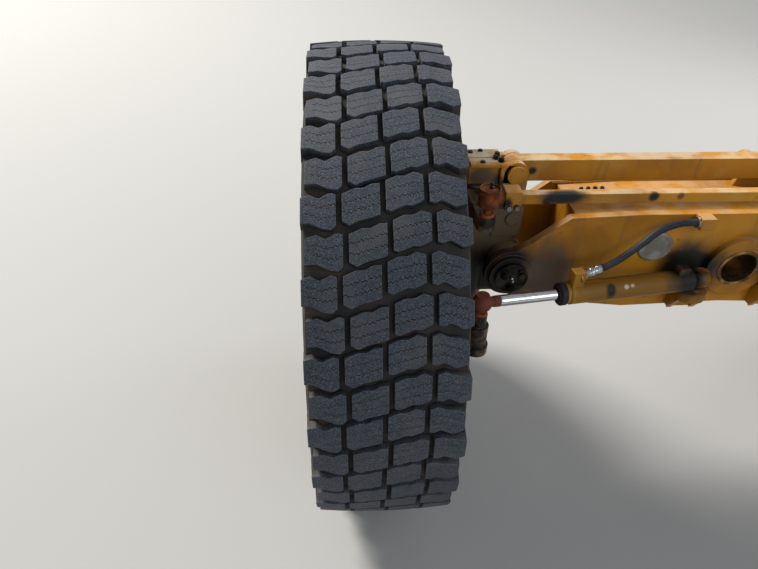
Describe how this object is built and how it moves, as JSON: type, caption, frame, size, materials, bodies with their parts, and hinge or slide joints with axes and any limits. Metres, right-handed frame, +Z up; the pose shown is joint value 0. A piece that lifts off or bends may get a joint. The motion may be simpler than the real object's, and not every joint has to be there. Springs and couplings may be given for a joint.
{
  "type": "motor grader front axle",
  "caption": "Arched front axle of a motor grader with leaning yokes, steered spindles, tie rod, steering rams and two pneumatic wheels.",
  "frame": {"origin": "centre of the beam's pivot bore, on which the axle rocks under the machine's front frame", "axes": "+X to the machine's right along the axle, +Y forward along the pivot bore, +Z up"},
  "size_m": [2.475, 1.37, 1.3698],
  "materials": {
    "yellow_paint": "aged golden yellow paint",
    "bare_steel": "worn steel with grease",
    "ram_chrome": "polished rod",
    "rusty_steel": "rusted",
    "bronze": "greased bearing bronze",
    "tyre_rubber": "dusty rubber"
  },
  "bodies": {
    "beam": {"beam": "yellow_paint", "pivot_bushing": "bronze", "lean_bracket": "yellow_paint", "lean_pin_left": "bare_steel", "lean_pin_right": "bare_steel", "anchor_left": "yellow_paint", "anchor_right": "yellow_paint"},
    "yoke_left": {"yoke_left": "yellow_paint", "king_pin_left": "bare_steel", "bar_pin_left": "bare_steel"},
    "yoke_right": {"yoke_right": "yellow_paint", "king_pin_right": "bare_steel", "bar_pin_right": "bare_steel"},
    "lean_bar": {"lean_bar": "yellow_paint"},
    "spindle_left": {"spindle_left": "yellow_paint", "steer_arm_left": "yellow_paint", "ram_stud_left": "rusty_steel"},
    "spindle_right": {"spindle_right": "yellow_paint", "steer_arm_right": "yellow_paint", "ram_stud_right": "rusty_steel", "tie_stud_right": "rusty_steel"},
    "tie_stud_left": {"tie_stud_left": "rusty_steel"},
    "tie_rod": {"tie_rod": "yellow_paint", "tie_end_left": "rusty_steel", "tie_end_right": "rusty_steel"},
    "anchor_ball_left": {"anchor_ball_left": "bare_steel"},
    "anchor_ball_right": {"anchor_ball_right": "bare_steel"},
    "ram_barrel_left": {"ram_barrel_left": "yellow_paint"},
    "ram_barrel_right": {"ram_barrel_right": "yellow_paint"},
    "ram_rod_left": {"ram_rod_left": "ram_chrome"},
    "ram_rod_right": {"ram_rod_right": "ram_chrome"},
    "lean_barrel": {"lean_barrel": "yellow_paint"},
    "lean_rod": {"lean_rod": "ram_chrome"},
    "wheel_left": {"hub_left": "yellow_paint", "rim_left": "yellow_paint", "lock_ring_left": "yellow_paint", "tyre_left": "tyre_rubber"},
    "wheel_right": {"hub_right": "yellow_paint", "rim_right": "yellow_paint", "lock_ring_right": "yellow_paint", "tyre_right": "tyre_rubber"}
  },
  "joints": [
    {"name": "lean", "type": "hinge", "parent": "beam", "child": "yoke_left", "pos_m": [-0.665, 0, -0.02], "axis": [0, 1, 0], "range_deg": [-18, 18]},
    {"name": "lean_right", "type": "hinge", "parent": "beam", "child": "yoke_right", "pos_m": [0.665, 0, -0.02], "axis": [0, 1, 0], "range_deg": [-18, 18]},
    {"name": "lean_bar_pin", "type": "hinge", "parent": "yoke_left", "child": "lean_bar", "pos_m": [-0.665, 0, 0.247], "axis": [0, 1, 0], "range_deg": [-18, 18]},
    {"name": "steer", "type": "hinge", "parent": "yoke_left", "child": "spindle_left", "pos_m": [-0.77, 0, 0], "axis": [0, 0, 1], "range_deg": [-45, 45]},
    {"name": "steer_right", "type": "hinge", "parent": "yoke_right", "child": "spindle_right", "pos_m": [0.77, 0, 0], "axis": [0, 0, 1], "range_deg": [-45, 45]},
    {"name": "tie_stud_turn", "type": "hinge", "parent": "spindle_left", "child": "tie_stud_left", "pos_m": [-0.77, -0.165, 0.257], "axis": [0, 0, 1], "range_deg": [-45, 45]},
    {"name": "tie_rod_tilt", "type": "hinge", "parent": "tie_stud_left", "child": "tie_rod", "pos_m": [-0.77, -0.165, 0.257], "axis": [0, 1, 0], "range_deg": [-18, 18]},
    {"name": "ram_left_swing", "type": "hinge", "parent": "beam", "child": "anchor_ball_left", "pos_m": [-0.118, -0.16, -0.02], "axis": [0, 0, 1], "range_deg": [-3, 3]},
    {"name": "ram_left_tilt", "type": "hinge", "parent": "anchor_ball_left", "child": "ram_barrel_left", "pos_m": [-0.118, -0.16, -0.02], "axis": [0, 1, 0], "range_deg": [-4, 4]},
    {"name": "ram_left_stroke", "type": "slide", "parent": "ram_barrel_left", "child": "ram_rod_left", "axis": [0.9906, 0.1367, 0], "range_m": [-0.18, 0.18]},
    {"name": "ram_right_swing", "type": "hinge", "parent": "beam", "child": "anchor_ball_right", "pos_m": [0.118, -0.16, -0.02], "axis": [0, 0, 1], "range_deg": [-3, 3]},
    {"name": "ram_right_tilt", "type": "hinge", "parent": "anchor_ball_right", "child": "ram_barrel_right", "pos_m": [0.118, -0.16, -0.02], "axis": [0, 1, 0], "range_deg": [-4, 4]},
    {"name": "ram_right_stroke", "type": "slide", "parent": "ram_barrel_right", "child": "ram_rod_right", "axis": [0.9906, -0.1367, 0], "range_m": [-0.18, 0.18]},
    {"name": "lean_ram_tilt", "type": "hinge", "parent": "beam", "child": "lean_barrel", "pos_m": [0.07, 0.092, 0.215], "axis": [0, 1, 0], "range_deg": [-2, 2]},
    {"name": "lean_ram_stroke", "type": "slide", "parent": "lean_barrel", "child": "lean_rod", "axis": [0.9986, 0, 0.0537], "range_m": [-0.09, 0.09]},
    {"name": "spin_left", "type": "hinge", "parent": "spindle_left", "child": "wheel_left", "pos_m": [-1.05, 0, -0.115], "axis": [1, 0, 0], "continuous": true},
    {"name": "spin_right", "type": "hinge", "parent": "spindle_right", "child": "wheel_right", "pos_m": [1.05, 0, -0.115], "axis": [1, 0, 0], "continuous": true}
  ],
  "couplings": [
    {"joint": "lean_right", "follows": "lean", "ratio": 1},
    {"joint": "lean_bar_pin", "follows": "lean", "ratio": -1},
    {"joint": "steer_right", "follows": "steer", "ratio": 1},
    {"joint": "tie_stud_turn", "follows": "steer", "ratio": -1},
    {"joint": "tie_rod_tilt", "follows": "lean", "ratio": -0.864},
    {"joint": "ram_left_swing", "follows": "steer", "ratio": 0.047},
    {"joint": "ram_left_tilt", "follows": "lean", "ratio": 0.158},
    {"joint": "ram_left_stroke", "follows": "steer", "m_per_rad": 0.2251},
    {"joint": "ram_right_swing", "follows": "steer", "ratio": 0.047},
    {"joint": "ram_right_tilt", "follows": "lean", "ratio": 0.158},
    {"joint": "ram_right_stroke", "follows": "steer", "m_per_rad": 0.2251},
    {"joint": "lean_ram_tilt", "follows": "lean", "ratio": -0.02},
    {"joint": "lean_ram_stroke", "follows": "lean", "m_per_rad": 0.2626}
  ]
}
